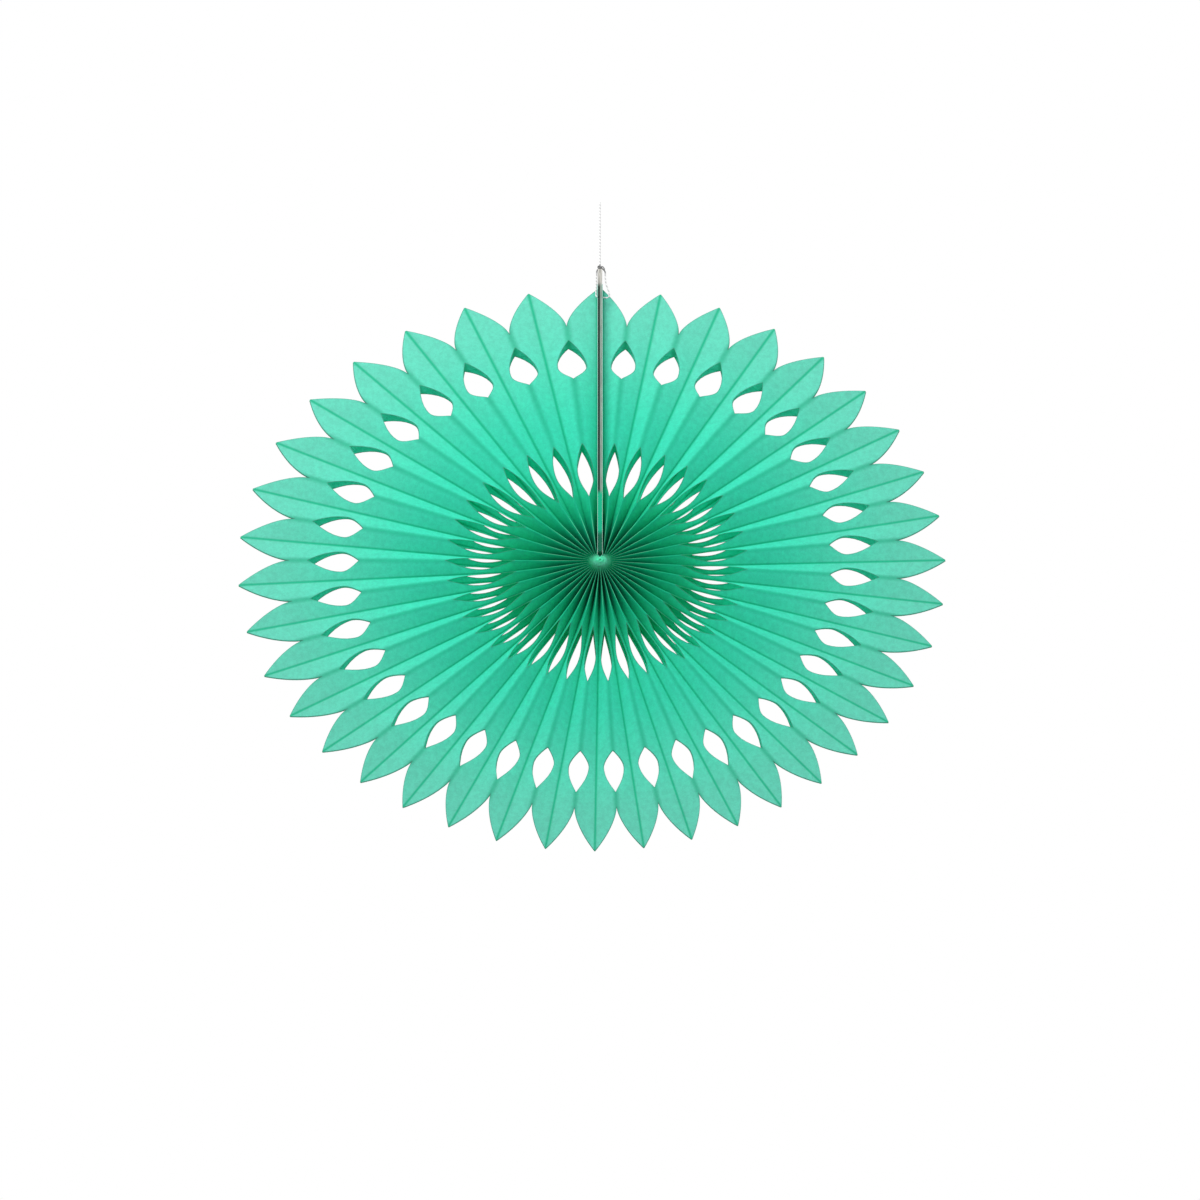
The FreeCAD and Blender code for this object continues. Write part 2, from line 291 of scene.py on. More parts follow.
class Ply:
    """One ply of tissue, as the places of its creases and faces."""

    def __init__(self, inner_stations, side, gap=0.0, near_gap=0.0):
        self.radii = station_radii(inner_stations)
        self.side, self.gap, self.near_gap = side, gap, near_gap

    def hang(self, radius):
        """How far back the ply hangs at a radius: most round the slots and the holes' outer points."""
        cut = openings()
        round_slots = between(radius, cut.hole_inner, cut.slot_outer)
        along_hole = between(radius, cut.hole_inner, cut.hole_outer) ** 2
        before_notch = between(radius, cut.notch_radius, cut.hole_outer)
        open_share = np.maximum(round_slots, np.minimum(along_hole, before_notch))
        return self.near_gap + (self.gap - self.near_gap) * open_share

    def crease_line(self, crease, radius):
        """The places along a crease, from the hub's middle."""
        angle = crease_angle(crease)
        pull = pleats().pull_offset / pleats().tip_radius
        reach = radius * (1 + pull * math.cos(angle - pleats().pull_angle))
        flank = 1 if crease < pleats().petal_count else -1
        side = self.side * top_share(angle) * flank * np.ones_like(radius)
        half = pleat_depth(radius) / 2
        opened = between(radius, 0.0, pleats().core_radius) ** CORE_POWER
        back_or_front = -half if crease % 2 else half * (2 * opened - 1)
        x = reach * math.sin(angle) + side * opened
        return np.stack([x, self.hang(radius) + back_or_front, reach * math.cos(angle)], axis=-1)

    def face(self, tip_crease, cut_crease, radius, across):
        """Places on a pleat's face. across runs from 0 on its back crease to 1 at its cut."""
        on_tip = self.crease_line(tip_crease, radius)
        on_cut = self.crease_line(cut_crease, radius)
        share_here = across * face_share(radius)
        places = on_tip + (on_cut - on_tip) * share_here[..., None]
        from_front = (1 - share_here) * face_width(radius)
        softness = max(pleats().fold_softness, SHARPEST_FOLD)
        places[..., 1] += FOLD_BLUNTING * pleat_depth(radius) * np.exp(-from_front / softness)
        return places


# Where the columns of a face lie, from its back crease to its cut. They are closer at both.
ACROSS = np.array([0.0, 0.06, 0.25, 0.5, 0.72, 0.88, 0.96, 1.0])
# How far a glued end pleat counts as being from any fold or cut, so that it stays plain.
CLEAR_OF_FOLDS = 0.004
# How close two vertices on one crease lie before they are made one.
SAME_PLACE = 2e-6


def deselect_all():
    """Leaves nothing selected and no mode but object mode."""
    if bpy.context.object and bpy.context.object.mode != "OBJECT":
        bpy.ops.object.mode_set(mode="OBJECT")
    bpy.ops.object.select_all(action="DESELECT")


def select_only(piece):
    """Makes a piece the selected and active one."""
    deselect_all()
    piece.select_set(True)
    bpy.context.view_layer.objects.active = piece


def flat_grid(name, columns, rows):
    """A flat grid, with each vertex's column and row."""
    deselect_all()
    bpy.ops.mesh.primitive_grid_add(x_subdivisions=columns - 1, y_subdivisions=rows - 1, size=1.0)
    grid = bpy.context.object
    grid.name = name
    flat = np.zeros(len(grid.data.vertices) * 3)
    grid.data.vertices.foreach_get("co", flat)
    flat = flat.reshape(-1, 3)
    column = np.rint((flat[:, 0] + 0.5) * (columns - 1)).astype(int)
    row = np.rint((flat[:, 1] + 0.5) * (rows - 1)).astype(int)
    return grid, column, row


def write_places(mesh, places):
    """Moves a mesh's vertices."""
    mesh.vertices.foreach_set("co", np.asarray(places, np.float32).ravel())
    mesh.update()


def write_values(mesh, name, values):
    """Keeps one value for each vertex, for the finish to read."""
    kept = mesh.attributes.get(name) or mesh.attributes.new(name, "FLOAT", "POINT")
    kept.data.foreach_set("value", np.asarray(values, np.float32).ravel())


def copy_of(grid):
    """A copy of the flat grid, to be folded."""
    piece = bpy.data.objects.new(grid.name, grid.data.copy())
    bpy.context.collection.objects.link(piece)
    return piece


def keep_distances(piece, **distances):
    """Keeps distances with a piece's vertices, in millimetres."""
    for name, metres in distances.items():
        write_values(piece.data, name, metres * MILLIMETRES)


def fold_face(grid, column, row, ply, tip_crease, cut_crease, hub):
    """A copy of the grid, folded into one face of a pleat."""
    piece = copy_of(grid)
    steps = ACROSS if cut_crease > tip_crease else ACROSS[::-1]
    radius, across = ply.radii[row], steps[column]
    write_places(piece.data, ply.face(tip_crease, cut_crease, radius, across) + np.array(hub))
    left, width = face_share(radius), face_width(radius)
    keep_distances(piece, from_fold=across * left * width, from_front=(1 - across * left) * width,
                   from_cut=cut_distance(radius, across, left), radius=radius)
    return piece


def fold_flap(grid, column, row, ply, flank, hub, top):
    """A copy of the grid as an end pleat, glued flat to its stay."""
    piece = copy_of(grid)
    low = pleats().core_radius + pleats().stay_gap
    radius = low + (top - low) * row / row.max()
    across = column / column.max() if flank < 0 else 1 - column / column.max()
    y = (across - 0.5) * pleats().hub_depth
    places = np.stack([np.full_like(radius, flank * ply.side), y, radius], axis=-1)
    write_places(piece.data, places + np.array(hub))
    clear = np.full_like(radius, CLEAR_OF_FOLDS)
    keep_distances(piece, from_fold=clear, from_front=clear, from_cut=clear, radius=radius)
    return piece


def joined(pieces, name):
    """Several meshes made into one."""
    deselect_all()
    for piece in pieces:
        piece.select_set(True)
    bpy.context.view_layer.objects.active = pieces[0]
    bpy.ops.object.join()
    whole = bpy.context.object
    whole.name = name
    return whole


def join_faces(faces, name):
    """Joins the faces along their creases into one sheet."""
    sheet = joined(faces, name)
    sheet.data.name = name
    bpy.ops.object.mode_set(mode="EDIT")
    bpy.ops.mesh.select_all(action="SELECT")
    bpy.ops.mesh.remove_doubles(threshold=SAME_PLACE)
    bpy.ops.object.mode_set(mode="OBJECT")
    return sheet


# Folds up to this many degrees are shaded smooth.
SMOOTH_UP_TO = 24


def thicken(sheet, thickness):
    """Gives a sheet its thickness, backwards from its front."""
    select_only(sheet)
    solid = sheet.modifiers.new("thickness", "SOLIDIFY")
    solid.thickness = thickness
    solid.offset = -1.0
    bpy.ops.object.modifier_apply(modifier=solid.name)
    bpy.ops.object.shade_smooth_by_angle(angle=math.radians(SMOOTH_UP_TO))


def fold_ply(name, ply, with_flaps):
    """A whole ply: every face of every pleat, folded, joined and thickened."""
    hub = hub_place()
    grid, column, row = flat_grid(name, len(ACROSS), len(ply.radii))
    faces = []
    for tip_crease in range(0, 2 * pleats().petal_count, 2):
        cut_crease = tip_crease + 1
        faces.append(fold_face(grid, column, row, ply, tip_crease, cut_crease, hub))
        faces.append(fold_face(grid, column, row, ply, tip_crease + 2, cut_crease, hub))
    if with_flaps:
        pull = pleats().pull_offset * math.cos(pleats().pull_angle)
        for flank in (1, -1):
            faces.append(fold_flap(grid, column, row, ply, flank, hub, pleats().tip_radius + pull))
    bpy.data.objects.remove(grid)
    sheet = join_faces(faces, name)
    thicken(sheet, pleats().ply_thickness)
    return sheet


def finish_piece(piece, material, node):
    """Gives a new piece its finish and its place in the frame."""
    piece.data.materials.clear()
    piece.data.materials.append(material)
    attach(piece, "root")
    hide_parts(node)


def add_node(tree, kind, place, values=(), **settings):
    """A shader node at a place in its tree, with its settings and its inputs' values."""
    made = tree.nodes.new(kind)
    made.location = (place[0] * 220, -place[1] * 180)
    for name, value in settings.items():
        setattr(made, name, value)
    for socket, value in dict(values).items():
        made.inputs[socket].default_value = value
    return made


def new_group(name, inputs, outputs):
    """A node group with sockets for numbers, and its two end nodes, which are None if it was there."""
    if name in bpy.data.node_groups:
        return bpy.data.node_groups[name], None, None
    tree = bpy.data.node_groups.new(name, "ShaderNodeTree")
    for socket, default in inputs:
        made = tree.interface.new_socket(socket, in_out="INPUT", socket_type="NodeSocketFloat")
        made.default_value = default
    for socket in outputs:
        tree.interface.new_socket(socket, in_out="OUTPUT", socket_type="NodeSocketFloat")
    start = add_node(tree, "NodeGroupInput", (-6, 0))
    end = add_node(tree, "NodeGroupOutput", (4, 0))
    return tree, start, end


def fold_lines_group():
    """Masks for painted shade along a tissue's sharp folds and its soft front folds, and a mask of its
    cut edges.
    """
    inputs = (("Fold Width", 0.6), ("Front Width", 2.6), ("Cut Width", 0.4))
    tree, start, end = new_group("Fold lines", inputs, ("Fold", "Front", "Cut"))
    if start is None:
        return tree
    rows = (("from_fold", "Fold Width", "Fold"), ("from_front", "Front Width", "Front"),
            ("from_cut", "Cut Width", "Cut"))
    for step, (distance, width, mask) in enumerate(rows):
        ramp = add_node(tree, "ShaderNodeMapRange", (-1, step * 2),
                        {"From Min": 0.0, "To Min": 1.0, "To Max": 0.0},
                        interpolation_type="SMOOTHSTEP")
        tree.links.new(kept_distance(tree, (-4, step * 2), distance), ramp.inputs["Value"])
        tree.links.new(start.outputs[width], ramp.inputs["From Max"])
        tree.links.new(ramp.outputs["Result"], end.inputs[mask])
    return tree


def fibres_group():
    """Tissue fibres: a soft mottling, and a fine height."""
    inputs = (("Mottle Scale", 380.0), ("Fibre Scale", 1500.0))
    tree, start, end = new_group("Fibres", inputs, ("Mottle", "Height"))
    if start is None:
        return tree
    place = add_node(tree, "ShaderNodeTexCoord", (-5, 1))
    cloudy = add_node(tree, "ShaderNodeTexNoise", (-3, 0), {"Detail": 3.0, "Roughness": 0.6})
    fine = add_node(tree, "ShaderNodeTexNoise", (-3, 2), {"Detail": 2.0, "Distortion": 1.2})
    for noise, scale in ((cloudy, "Mottle Scale"), (fine, "Fibre Scale")):
        tree.links.new(place.outputs["Object"], noise.inputs["Vector"])
        tree.links.new(start.outputs[scale], noise.inputs["Scale"])
    both = add_node(tree, "ShaderNodeMath", (0, 0), operation="ADD")
    half = add_node(tree, "ShaderNodeMath", (1, 0), {1: 0.5}, operation="MULTIPLY")
    tree.links.new(cloudy.outputs["Fac"], both.inputs[0])
    tree.links.new(fine.outputs["Fac"], both.inputs[1])
    tree.links.new(both.outputs[0], half.inputs[0])
    tree.links.new(half.outputs[0], end.inputs["Mottle"])
    tree.links.new(fine.outputs["Fac"], end.inputs["Height"])
    return tree


def new_material(name, **constants):
    """A material with one Principled shader, and that shader."""
    material = bpy.data.materials.new(name)
    material.use_nodes = True
    shader = material.node_tree.nodes["Principled BSDF"]
    for socket, value in constants.items():
        shader.inputs[socket.replace("_", " ")].default_value = value
    return material, shader


def add_group(tree, group, place, **values):
    """A group placed in a material's tree."""
    made = add_node(tree, "ShaderNodeGroup", place, node_tree=group)
    for socket, value in values.items():
        made.inputs[socket.replace("_", " ")].default_value = value
    return made


# A mix node's sockets for its mask, its two colours and their mixture.
MIX_INPUTS = (0, 6, 7)
MIX_OUTPUT = 2


def mix_colours(tree, place, mask, first, second, blend="MIX"):
    """Mixes two colours, each a socket or a plain colour, by a mask that is a socket or a number."""
    mix = add_node(tree, "ShaderNodeMix", place, data_type="RGBA", blend_type=blend)
    for socket, source in zip(MIX_INPUTS, (mask, first, second)):
        if isinstance(source, bpy.types.NodeSocket):
            tree.links.new(source, mix.inputs[socket])
        else:
            mix.inputs[socket].default_value = source
    return mix.outputs[MIX_OUTPUT]


def scaled(tree, place, mask, factor):
    """A mask made weaker."""
    product = add_node(tree, "ShaderNodeMath", place, {1: factor}, operation="MULTIPLY")
    tree.links.new(mask, product.inputs[0])
    return product.outputs[0]


def product_of(tree, place, *masks):
    """Masks multiplied together."""
    product = masks[0]
    for step, mask in enumerate(masks[1:]):
        both = add_node(tree, "ShaderNodeMath", (place[0] + step, place[1]), operation="MULTIPLY")
        tree.links.new(product, both.inputs[0])
        tree.links.new(mask, both.inputs[1])
        product = both.outputs[0]
    return product


def ramp_over(tree, place, source, low, high):
    """A mask that goes smoothly from 0 to 1 as a value goes from low to high."""
    ramp = add_node(tree, "ShaderNodeMapRange", place, {"From Min": low, "From Max": high},
                    interpolation_type="SMOOTHSTEP")
    tree.links.new(source, ramp.inputs["Value"])
    return ramp.outputs["Result"]


def opaque(rgb, factor=1.0):
    """A colour with its alpha, made darker or lighter."""
    return (*(min(1.0, level * factor) for level in rgb), 1.0)


def kept_distance(tree, place, name):
    """A distance that the tissue's vertices hold, in millimetres."""
    return add_node(tree, "ShaderNodeAttribute", place, attribute_name=name).outputs["Fac"]


def height_of(tree, place, coordinates):
    """How high a point lies, from an object's coordinates."""
    split = add_node(tree, "ShaderNodeSeparateXYZ", place)
    tree.links.new(coordinates, split.inputs["Vector"])
    return split.outputs["Z"]


def ramp_from(tree, place, height, base, distances):
    """A mask that goes from 0 to 1 between two heights, given as distances above a base."""
    low, high = distances
    return ramp_over(tree, place, height, base + low, base + high)


def paint_layers(tree, place, colour_below, layers):
    """Lays colours over each other, each by its own mask."""
    for step, (mask, colour_above) in enumerate(layers):
        colour_below = mix_colours(tree, (place[0] + step, place[1]), mask, colour_below, colour_above)
    return colour_below


# How far in metres the finest relief stands up where its strength is 1.
RELIEF = 0.0001


def roughen(tree, shader, height, strength):
    """Gives a surface the fine relief of a height."""
    bump = add_node(tree, "ShaderNodeBump", (-2, 2), {"Strength": strength, "Distance": RELIEF})
    tree.links.new(height, bump.inputs["Height"])
    tree.links.new(bump.outputs["Normal"], shader.inputs["Normal"])


# Where a cloudy or streaky noise turns from its dark tone to its light one.
NOISE_RANGE = (0.35, 0.65)
MOTTLE_DARK = (0.9, 0.9, 0.9, 1.0)
MOTTLE_LIGHT = (1.06, 1.03, 1.05, 1.0)
# How much of the light that meets the tissue comes through it.
TISSUE_THINNESS = 0.5
# Radii in millimetres at which a painted tone of the tissue begins and is full: painted light towards the
# rim, painted shade round the hub and in the deep pleats, a painted highlight on the front folds near the
# hub and a painted bright patch on the glued core.
RIM_PAINTED_LIGHT = (92.0, 195.0)
INNER_PAINTED_SHADE = (92.0, 18.0)
CORE_PAINTED_LIGHT = (6.5, 3.0)
RIDGE_PAINTED_HIGHLIGHT = (40.0, 22.0)
DEEP_PAINTED_SHADE = (42.0, 12.0)
OFF_CORE = (5.0, 9.0)
# The same as distances from a front fold.
ON_RIDGE = (0.7, 0.1)
DOWN_THE_PLEAT = (0.3, 4.5)
# How strongly each painted shade, painted highlight or cut line is laid on.
STRENGTH = {"Front": 0.55, "Fold": 0.85, "Cut": 0.8, "Deep": 0.8, "Ridge highlight": 0.7}


def tissue_material(name):
    """Pleated tissue: mottled with fibres, greyer at its cuts, and with painted light and shade: lighter
    towards the rim, darker round the hub and deep in its pleats, darker and saturated along its folds,
    with painted highlights on the front folds round the hub and a painted bright patch on the glued core.
    """
    material, shader = new_material(name, Roughness=0.7, Specular_IOR_Level=0.12)
    tree = material.node_tree
    tones = colours()
    fibres = add_group(tree, fibres_group(), (-9, 0))
    lines = add_group(tree, fold_lines_group(), (-9, 2), Fold_Width=1.4, Front_Width=3.0,
                      Cut_Width=0.6)
    front, fold, cut = (scaled(tree, (-4, step), lines.outputs[line], STRENGTH[line])
                        for step, line in enumerate(("Front", "Fold", "Cut"), start=3))
    radius = kept_distance(tree, (-9, 4), "radius")
    # Painted light towards the rim and painted shade round the hub, laid over the middle colour by
    # radius.
    plain = paint_layers(tree, (-7, 0), opaque(tones.middle), (
        (ramp_over(tree, (-8, 4), radius, *RIM_PAINTED_LIGHT), opaque(tones.rim)),
        (ramp_over(tree, (-8, 5), radius, *INNER_PAINTED_SHADE), opaque(tones.inner)),
    ))
    cloud = ramp_over(tree, (-6, 1), fibres.outputs["Mottle"], *NOISE_RANGE)
    light_and_dark = mix_colours(tree, (-5, 1), cloud, MOTTLE_DARK, MOTTLE_LIGHT)
    mottled = mix_colours(tree, (-3, 0), 1.0, plain, light_and_dark, blend="MULTIPLY")
    finished = paint_layers(tree, (-2, 0), mottled, (
        # Painted shade along the soft front folds and the sharp folds.
        (front, opaque(tones.fold, 0.85)),
        (fold, opaque(tones.fold)),
        (cut, opaque(tones.edge)),
        # Painted shade deep in the pleats near the hub.
        (deep_fold_shade(tree, radius), opaque(tones.inner, 0.3)),
        # Painted highlight on the front folds round the hub.
        (hub_ridge_highlights(tree, radius), opaque(tones.ridge_highlight)),
        # Painted light: a bright patch on the glued core.
        (ramp_over(tree, (-8, 6), radius, *CORE_PAINTED_LIGHT), opaque(tones.core)),
    ))
    let_light_through(tree, shader, finished)
    roughen(tree, shader, fibres.outputs["Height"], strength=0.25)
    return material


def let_light_through(tree, shader, tissue_colour):
    """Colours a thin tissue, and lets light come through it as well as off it."""
    through = add_node(tree, "ShaderNodeBsdfTranslucent", (4, 2))
    tree.links.new(tissue_colour, shader.inputs["Base Color"])
    tree.links.new(tissue_colour, through.inputs["Color"])
    both = add_node(tree, "ShaderNodeMixShader", (5, 0), {0: TISSUE_THINNESS})
    tree.links.new(shader.outputs["BSDF"], both.inputs[1])
    tree.links.new(through.outputs["BSDF"], both.inputs[2])
    tree.links.new(both.outputs["Shader"], tree.nodes["Material Output"].inputs["Surface"])


def hub_ridge_highlights(tree, radius):
    """A mask of painted highlight on the front folds round the hub, which catch the light."""
    on_ridge = ramp_over(tree, (-8, 10), kept_distance(tree, (-9, 10), "from_front"), *ON_RIDGE)
    near_hub = ramp_over(tree, (-8, 11), radius, *RIDGE_PAINTED_HIGHLIGHT)
    return scaled(tree, (-5, 10), product_of(tree, (-7, 10), on_ridge, near_hub), STRENGTH["Ridge highlight"])


def deep_fold_shade(tree, radius):
    """A mask of painted shade in the pleats' depths near the hub, where little light gets in."""
    down = ramp_over(tree, (-8, 7), kept_distance(tree, (-9, 7), "from_front"), *DOWN_THE_PLEAT)
    near_hub = ramp_over(tree, (-8, 8), radius, *DEEP_PAINTED_SHADE)
    off_core = ramp_over(tree, (-8, 9), radius, *OFF_CORE)
    deep = product_of(tree, (-7, 8), down, near_hub, off_core)
    return scaled(tree, (-5, 8), deep, STRENGTH["Deep"])


# Where the stays' painted shade begins and is full, as heights above the top of the tissue and above
# their foot: shade between the glued pleats, and a darker green shade among the pleats near the foot.
SHADE_BETWEEN_PLEATS = (0.002, -0.003)
SHADE_ABOVE_FOOT = (0.045, 0.0405)
DEEP_SHADE_ABOVE_FOOT = (0.016, 0.0112)
# The board's noise changes slowly along the stays, which draws it out into streaks.
STREAK_STRETCH = (1.0, 1.0, 0.06)


def board_material(name, painted_shade):
    """Grey board, streaked along its length, with painted shade where it stands between the glued pleats
    and a darker painted green shade near its foot among the pleats.
    """
    material, shader = new_material(name, Roughness=0.7, Specular_IOR_Level=0.1)
    tree = material.node_tree
    place = add_node(tree, "ShaderNodeTexCoord", (-7, 1)).outputs["Object"]
    stretch = add_node(tree, "ShaderNodeMapping", (-6, 1), {"Scale": STREAK_STRETCH})
    streaks = add_node(tree, "ShaderNodeTexNoise", (-5, 1), {"Scale": 2600.0, "Detail": 3.0})
    tree.links.new(place, stretch.inputs["Vector"])
    tree.links.new(stretch.outputs["Vector"], streaks.inputs["Vector"])
    mask = ramp_over(tree, (-4, 1), streaks.outputs["Fac"], *NOISE_RANGE)
    tones = colours()
    board = mix_colours(tree, (-3, 0), mask, opaque(tones.board_grey), opaque(tones.board))
    shade_between_pleats = mix_colours(tree, (-3, 2), mask, opaque(painted_shade, 0.8), opaque(painted_shade, 1.15))
    height = height_of(tree, (-6, 3), place)
    paper_top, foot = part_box("front_tissue")[1].z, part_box("right_stay")[0].z
    finished = paint_layers(tree, (-2, 0), board, (
        # Painted shade where the stay stands between the glued pleats.
        (ramp_from(tree, (-4, 3), height, paper_top, SHADE_BETWEEN_PLEATS), shade_between_pleats),
        # Painted green shade among the pleats near the foot, darkest just above it.
        (ramp_from(tree, (-4, 4), height, foot, SHADE_ABOVE_FOOT), opaque(tones.inner, 0.5)),
        (ramp_from(tree, (-4, 5), height, foot, DEEP_SHADE_ABOVE_FOOT), opaque(tones.inner, 0.15)),
    ))
    tree.links.new(finished, shader.inputs["Base Color"])
    roughen(tree, shader, streaks.outputs["Fac"], strength=0.3)
    return material


# Where the thread's painted shade round the knot begins and ends, above the top of the solid loop.
KNOT_SHADE_TOP = (0.0022, 0.0012)
KNOT_SHADE_FOOT = (-0.0075, -0.0035)


def thread_material():
    """Twisted thread: slanting strands, light on their backs, with painted shade between them and darker
    painted shade at the knot.
    """
    if "thread" in bpy.data.materials:
        return bpy.data.materials["thread"]
    material, shader = new_material("thread", Roughness=0.65, Specular_IOR_Level=0.3)
    tree = material.node_tree
    place = add_node(tree, "ShaderNodeTexCoord", (-6, 1)).outputs["Object"]
    twist = add_node(tree, "ShaderNodeTexWave", (-4, 1), {"Scale": 260.0, "Distortion": 1.0},
                     bands_direction="DIAGONAL")
    tree.links.new(place, twist.inputs["Vector"])
    tone = colours().thread
    # Painted shade in the grooves between the twisted strands.
    strands = mix_colours(tree, (-2, 0), twist.outputs["Fac"], opaque(tone, 0.55), opaque(tone))
    height = height_of(tree, (-5, 3), place)
    loop_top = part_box("thread_loop")[1].z
    # Painted shade round the knot.
    knot = product_of(tree, (-2, 3), ramp_from(tree, (-3, 3), height, loop_top, KNOT_SHADE_TOP),
                      ramp_from(tree, (-3, 4), height, loop_top, KNOT_SHADE_FOOT))
    tree.links.new(mix_colours(tree, (-1, 0), knot, strands, opaque(tone, 0.22)),
                   shader.inputs["Base Color"])
    roughen(tree, shader, twist.outputs["Fac"], strength=0.5)
    return material


def thread_curve(name, points, radius, closed=False):
    """A round thread along a smooth line near the points."""
    line = bpy.data.curves.new(name, "CURVE")
    line.dimensions = "3D"
    line.bevel_depth = radius
    line.bevel_resolution = 4
    line.resolution_u = 8
    line.use_fill_caps = True
    spline = line.splines.new("NURBS")
    spline.points.add(len(points) - 1)
    for place, point in zip(points, spline.points):
        point.co = (*place, 1.0)
    spline.order_u = 3
    spline.use_endpoint_u = not closed
    spline.use_cyclic_u = closed
    piece = bpy.data.objects.new(name, line)
    bpy.context.collection.objects.link(piece)
    return piece


def loop_points(eye, top, knot, reach):
    """The loop's line: from the knot down the right, through the eye and up the left."""
    board = pleats().stay_thickness
    thread = bpy.context.scene.rosette_thread.thickness / 2
    close = board + 1.6 * thread
    # The places of the line's points. The small steps in metres keep the thread off the board.
    return [
        (0.0, 0.0, knot), (close + 0.0012, 0.0, top + 0.0006), (0.55 * reach, 0.0, top - 0.004),
        (0.62 * reach, 0.0, (top + eye) / 2), (reach, 0.0, eye + 0.0035), (0.98 * reach, 0.0, eye),
        (0.6 * reach, 0.0, eye - 0.0006), (board, 0.0, eye), (-board, 0.0, eye),
        (-close - 0.0004, 0.0, eye + 0.0005), (-close - 0.0004, 0.0, eye + 0.004),
        (-close, 0.0, top - 0.003), (-close, 0.0, top + 0.0006), (0.0, 0.0, knot),
    ]


KNOT_STEPS = 24
# How far the knot's three lobes reach before they are scaled, and how flat the knot is.
KNOT_REACH = 3.0
KNOT_FLATNESS = 0.8


def knot_points(centre, size):
    """An overhand knot's line, as three lobes that pass over each other."""
    turns = [2 * math.pi * step / KNOT_STEPS for step in range(KNOT_STEPS)]
    wide = size / KNOT_REACH
    flat = KNOT_FLATNESS * wide
    return [(centre.x + wide * (math.sin(t) + 2 * math.sin(2 * t)),
             centre.y - flat * math.sin(3 * t),
             centre.z + flat * (math.cos(t) - 2 * math.cos(2 * t))) for t in turns]


def as_mesh(piece):
    """Turns a curve into a mesh."""
    select_only(piece)
    bpy.ops.object.convert(target="MESH")
    return bpy.context.object


# Where the front ply's innermost rows lie, as factors of the glued core's radius.
CORE_ROWS = (0.06, 0.35, 0.7, 1.0, 1.6, 2.4)


class ROSETTE_OT_front_ply(bpy.types.Operator):
    """Folds the front ply and glues its end pleats to the stays"""

    bl_idname = "rosette.front_ply"
    bl_label = "Fold the front ply"

    def execute(self, context):
        inner = [pleats().core_radius * factor for factor in CORE_ROWS]
        ply = Ply(inner, pleats().stay_thickness + pleats().ply_thickness / 2)
        sheet = fold_ply("front_ply", ply, with_flaps=True)
        finish_piece(sheet, tissue_material("front_paper"), "front_tissue")
        return {"FINISHED"}


class ROSETTE_OT_rear_ply(bpy.types.Operator):
    """Folds the rear ply, which hangs behind the front one"""

    bl_idname = "rosette.rear_ply"
    bl_label = "Fold the rear ply"

    def execute(self, context):
        rear = context.scene.rosette_rear
        side = pleats().stay_thickness + pleats().ply_thickness + rear.flap_gap
        ply = Ply([rear.inner_radius], side, rear.gap, rear.near_gap)
        sheet = fold_ply("rear_ply", ply, with_flaps=False)
        finish_piece(sheet, tissue_material("rear_paper"), "rear_tissue")
        return {"FINISHED"}


class ROSETTE_OT_stays(bpy.types.Operator):
    """Gives the two stays their board finish"""

    bl_idname = "rosette.stays"
    bl_label = "Finish the stays"

    def execute(self, context):
        # Each stay's painted shade between the glued pleats.
        for name, painted_shade in (("left_stay", colours().left_stay_shade), ("right_stay", colours().shaded)):
            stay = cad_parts[name]
            stay.data.materials.clear()
            stay.data.materials.append(board_material(f"{name}_board", painted_shade))
        return {"FINISHED"}


# The cut end of the thread, from the knot's middle, and how thick it is beside the rest.
TAIL_STEPS = ((0.0, 0.0, 0.0), (0.0012, -0.0006, 0.0004), (0.0022, -0.0008, -0.0008),
              (0.0027, -0.0008, -0.0022))
TAIL_THICKNESS = 0.8


class ROSETTE_OT_thread_loop(bpy.types.Operator):
    """Ties the thread's loop through the eye in the stays"""

    bl_idname = "rosette.thread_loop"
    bl_label = "Tie the loop"

    def execute(self, context):
        thread = context.scene.rosette_thread
        radius = thread.thickness / 2
        low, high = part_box("thread_loop")
        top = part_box("right_stay")[1].z
        knot = Vector((0.0, 0.0, high.z - thread.knot_size / 4))
        points = loop_points(low.z + radius, top, knot.z, thread.loop_width)
        tail = [knot + Vector(step) for step in TAIL_STEPS]
        runs = [thread_curve("tied_loop", points, radius),
                thread_curve("knot", knot_points(knot, thread.knot_size - radius), radius, closed=True),
                thread_curve("tail", tail, radius * TAIL_THICKNESS)]
        loop = joined([as_mesh(run) for run in runs], "tied_loop")
        bpy.ops.object.shade_smooth()
        finish_piece(loop, thread_material(), "thread_loop")
        return {"FINISHED"}


THREAD_SPANS = 4


class ROSETTE_OT_hanging_thread(bpy.types.Operator):
    """Draws the thread tight from the knot up to its end"""

    bl_idname = "rosette.hanging_thread"
    bl_label = "Hang the thread"

    def execute(self, context):
        thread = context.scene.rosette_thread
        low = -thread.hanging_length
        points = [(0.0, 0.0, low * (1 - step / THREAD_SPANS)) for step in range(THREAD_SPANS + 1)]
        line = thread_curve("thread", points, thread.thickness / 2)
        finish_piece(line, thread_material(), "hanging_thread")
        return {"FINISHED"}


CAMERA_DISTANCE = 4.0
CAMERA_ELEVATION = -37.04
CAMERA_LENS = 211.7
CAMERA_SENSOR = 36.0
CAMERA_SEES = (0.1, 50.0)
AIM_BELOW_HUB = 0.0232
FLOOR_BELOW = 2.95
FLOOR_WIDTH = 30.0
# Each lamp's name, place from the hub, width and power.
LAMPS = (("key", (-0.3, -0.65, 0.75), 0.6, 9.0), ("fill", (0.9, -2.4, -0.6), 1.8, 7.0))
WORLD_LIGHT = 0.82
WORLD_SHOWN = 1.0


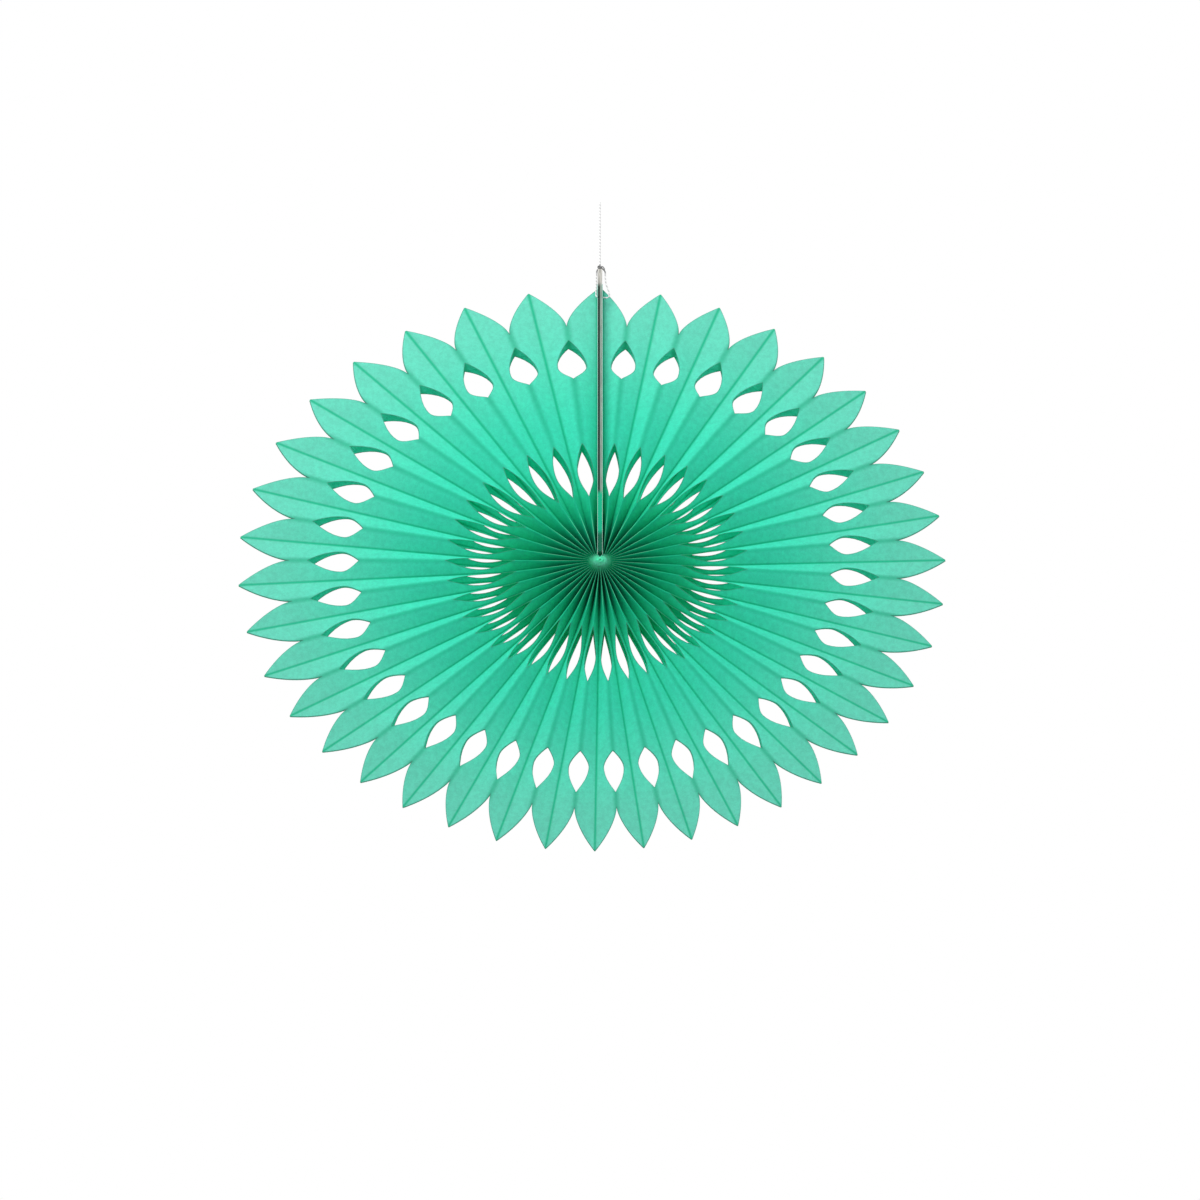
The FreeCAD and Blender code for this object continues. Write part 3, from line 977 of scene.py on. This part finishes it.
def add_camera():
    """A long lens that looks up at the front."""
    tilt = math.radians(CAMERA_ELEVATION)
    back = Vector((0.0, -math.cos(tilt), math.sin(tilt)))
    up = Vector((0.0, math.sin(tilt), math.cos(tilt)))
    hub_front = hub_place() - Vector((0.0, pleats().hub_depth / 2, 0.0))
    aim = hub_front - up * AIM_BELOW_HUB
    data = bpy.data.cameras.new("camera")
    data.lens = CAMERA_LENS
    data.sensor_width = CAMERA_SENSOR
    data.clip_start, data.clip_end = CAMERA_SEES
    camera = bpy.data.objects.new("camera", data)
    bpy.context.collection.objects.link(camera)
    camera.location = aim + back * CAMERA_DISTANCE
    camera.rotation_euler = (-back).to_track_quat("-Z", "Y").to_euler()
    bpy.context.scene.camera = camera


def add_lamp(name, place, width, power):
    """A soft square lamp that faces the rosette."""
    data = bpy.data.lights.new(name, "AREA")
    data.size = width
    data.energy = power
    lamp = bpy.data.objects.new(name, data)
    bpy.context.collection.objects.link(lamp)
    target = hub_place()
    lamp.location = target + Vector(place)
    lamp.rotation_euler = (-Vector(place)).to_track_quat("-Z", "Y").to_euler()


def add_world(light, shown):
    """Even white light, and a white background for the camera and in mirrors and glass."""
    world = bpy.data.worlds.new("studio")
    bpy.context.scene.world = world
    world.use_nodes = True
    tree = world.node_tree
    ground = tree.nodes["Background"]
    ground.inputs["Color"].default_value = (1.0, 1.0, 1.0, 1.0)
    path = add_node(tree, "ShaderNodeLightPath", (-6, 0))
    seen = add_node(tree, "ShaderNodeMath", (-4, 0), operation="MAXIMUM")
    either = add_node(tree, "ShaderNodeMath", (-3, 0), operation="MAXIMUM")
    tree.links.new(path.outputs["Is Camera Ray"], seen.inputs[0])
    tree.links.new(path.outputs["Is Glossy Ray"], seen.inputs[1])
    tree.links.new(seen.outputs[0], either.inputs[0])
    tree.links.new(path.outputs["Is Transmission Ray"], either.inputs[1])
    level = add_node(tree, "ShaderNodeMapRange", (-2, 0), {"To Min": light, "To Max": shown})
    tree.links.new(either.outputs[0], level.inputs["Value"])
    tree.links.new(level.outputs["Result"], ground.inputs["Strength"])


def add_floor():
    """A pale floor far below the rosette."""
    deselect_all()
    bpy.ops.mesh.primitive_plane_add(size=FLOOR_WIDTH, location=(0.0, 0.0, -FLOOR_BELOW))
    floor = bpy.context.object
    floor.name = "floor"
    material, shader = new_material("floor", Roughness=0.9)
    tree = material.node_tree
    place = add_node(tree, "ShaderNodeTexCoord", (-6, 0))
    grain = add_node(tree, "ShaderNodeTexNoise", (-5, 0), {"Scale": 3.0, "Detail": 4.0})
    tree.links.new(place.outputs["Object"], grain.inputs["Vector"])
    tone = colours().floor
    mixed = mix_colours(tree, (-2, 0), grain.outputs["Fac"], opaque(tone, 0.98), opaque(tone, 1.02))
    tree.links.new(mixed, shader.inputs["Base Color"])
    floor.data.materials.append(material)


class ROSETTE_OT_stage(bpy.types.Operator):
    """Sets up the camera, the soft light, the background and the floor"""

    bl_idname = "rosette.stage"
    bl_label = "Set the stage"

    def execute(self, context):
        add_camera()
        for lamp in LAMPS:
            add_lamp(*lamp)
        add_world(WORLD_LIGHT, WORLD_SHOWN)
        add_floor()
        context.scene.view_settings.view_transform = "Standard"
        return {"FINISHED"}


STEPS = ("stage", "front_ply", "rear_ply", "stays", "thread_loop", "hanging_thread")


class ROSETTE_PT_panel(bpy.types.Panel):
    """Lists the rosette's pieces and sizes"""

    bl_idname = "ROSETTE_PT_panel"
    bl_label = "Paper rosette"
    bl_space_type = "VIEW_3D"
    bl_region_type = "UI"
    bl_category = "Rosette"

    def draw(self, context):
        for step in STEPS:
            self.layout.operator(f"rosette.{step}")
        for group in GROUPS:
            box = self.layout.box()
            held = getattr(context.scene, group)
            for name in held.bl_rna.properties.keys():
                if name not in ("rna_type", "name"):
                    box.prop(held, name)


GROUPS = {
    "rosette_pleats": RosettePleats,
    "rosette_rear": RosetteRear,
    "rosette_openings": RosetteOpenings,
    "rosette_thread": RosetteThread,
    "rosette_colours": RosetteColours,
}
CLASSES = (
    *GROUPS.values(),
    ROSETTE_OT_stage,
    ROSETTE_OT_front_ply,
    ROSETTE_OT_rear_ply,
    ROSETTE_OT_stays,
    ROSETTE_OT_thread_loop,
    ROSETTE_OT_hanging_thread,
    ROSETTE_PT_panel,
)


def register():
    """Adds the classes, and the sizes to the scene."""
    for cls in CLASSES:
        bpy.utils.register_class(cls)
    for name, group in GROUPS.items():
        setattr(bpy.types.Scene, name, PointerProperty(type=group))


def unregister():
    """Takes away what register adds."""
    for name in GROUPS:
        delattr(bpy.types.Scene, name)
    for cls in reversed(CLASSES):
        bpy.utils.unregister_class(cls)


def main():
    """Makes every piece."""
    register()
    for step in STEPS:
        getattr(bpy.ops.rosette, step)()


if __name__ == "__main__":
    main()
